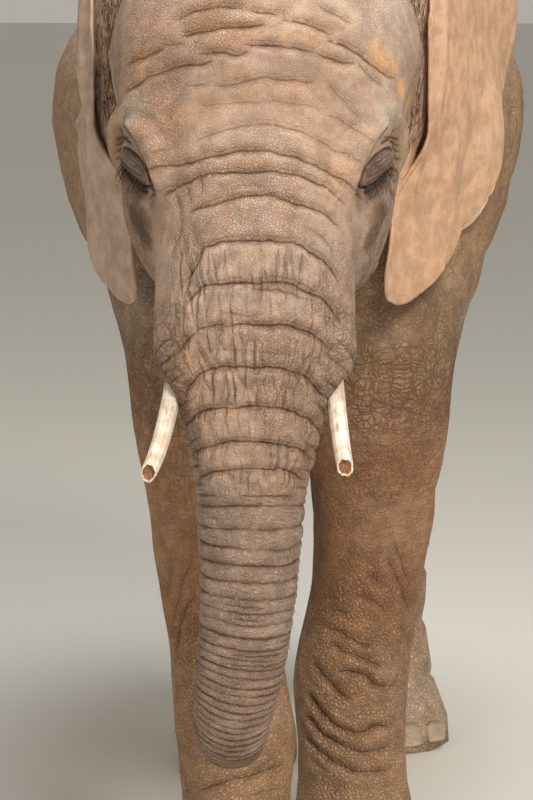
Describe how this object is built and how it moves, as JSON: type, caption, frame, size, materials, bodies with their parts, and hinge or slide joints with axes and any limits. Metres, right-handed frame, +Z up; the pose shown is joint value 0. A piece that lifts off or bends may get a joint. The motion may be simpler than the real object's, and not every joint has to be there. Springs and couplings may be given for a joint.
{
  "type": "African elephant",
  "caption": "Life-size still model of a young African elephant in mid-stride, head low, ears laid back, trunk hanging with its end curled behind.",
  "frame": {"origin": "on the floor, under the middle of the bounding box", "axes": "+Z up; the animal faces -Y and its left side is +X"},
  "size_m": [1.1034, 2.989, 2.0975],
  "materials": {
    "hide": "dry wrinkled hide with dust",
    "ear_hide": "smoother dusty hide",
    "ivory": "worn satin ivory",
    "eye": "wet gloss",
    "bristle": "coarse wiry hair"
  },
  "bodies": {
    "root": {"leg_front_left_upper": "hide", "leg_front_left_lower": "hide", "foot_front_left": "hide", "leg_front_right_upper": "hide", "leg_front_right_lower": "hide", "foot_front_right": "hide", "leg_hind_left_upper": "hide", "leg_hind_left_lower": "hide", "foot_hind_left": "hide", "leg_hind_right_upper": "hide", "leg_hind_right_lower": "hide", "foot_hind_right": "hide", "torso": "hide", "neck": "hide", "trunk_upper": "hide", "trunk_middle": "hide", "trunk_lower": "hide", "trunk_tip": "hide", "head": "hide", "jaw": "hide", "eye_left": "eye", "eye_right": "eye", "tusk_left": "ivory", "tusk_right": "ivory", "ear_left": "ear_hide", "ear_right": "ear_hide", "tail": "hide", "tail_tuft": "bristle"}
  },
  "joints": []
}
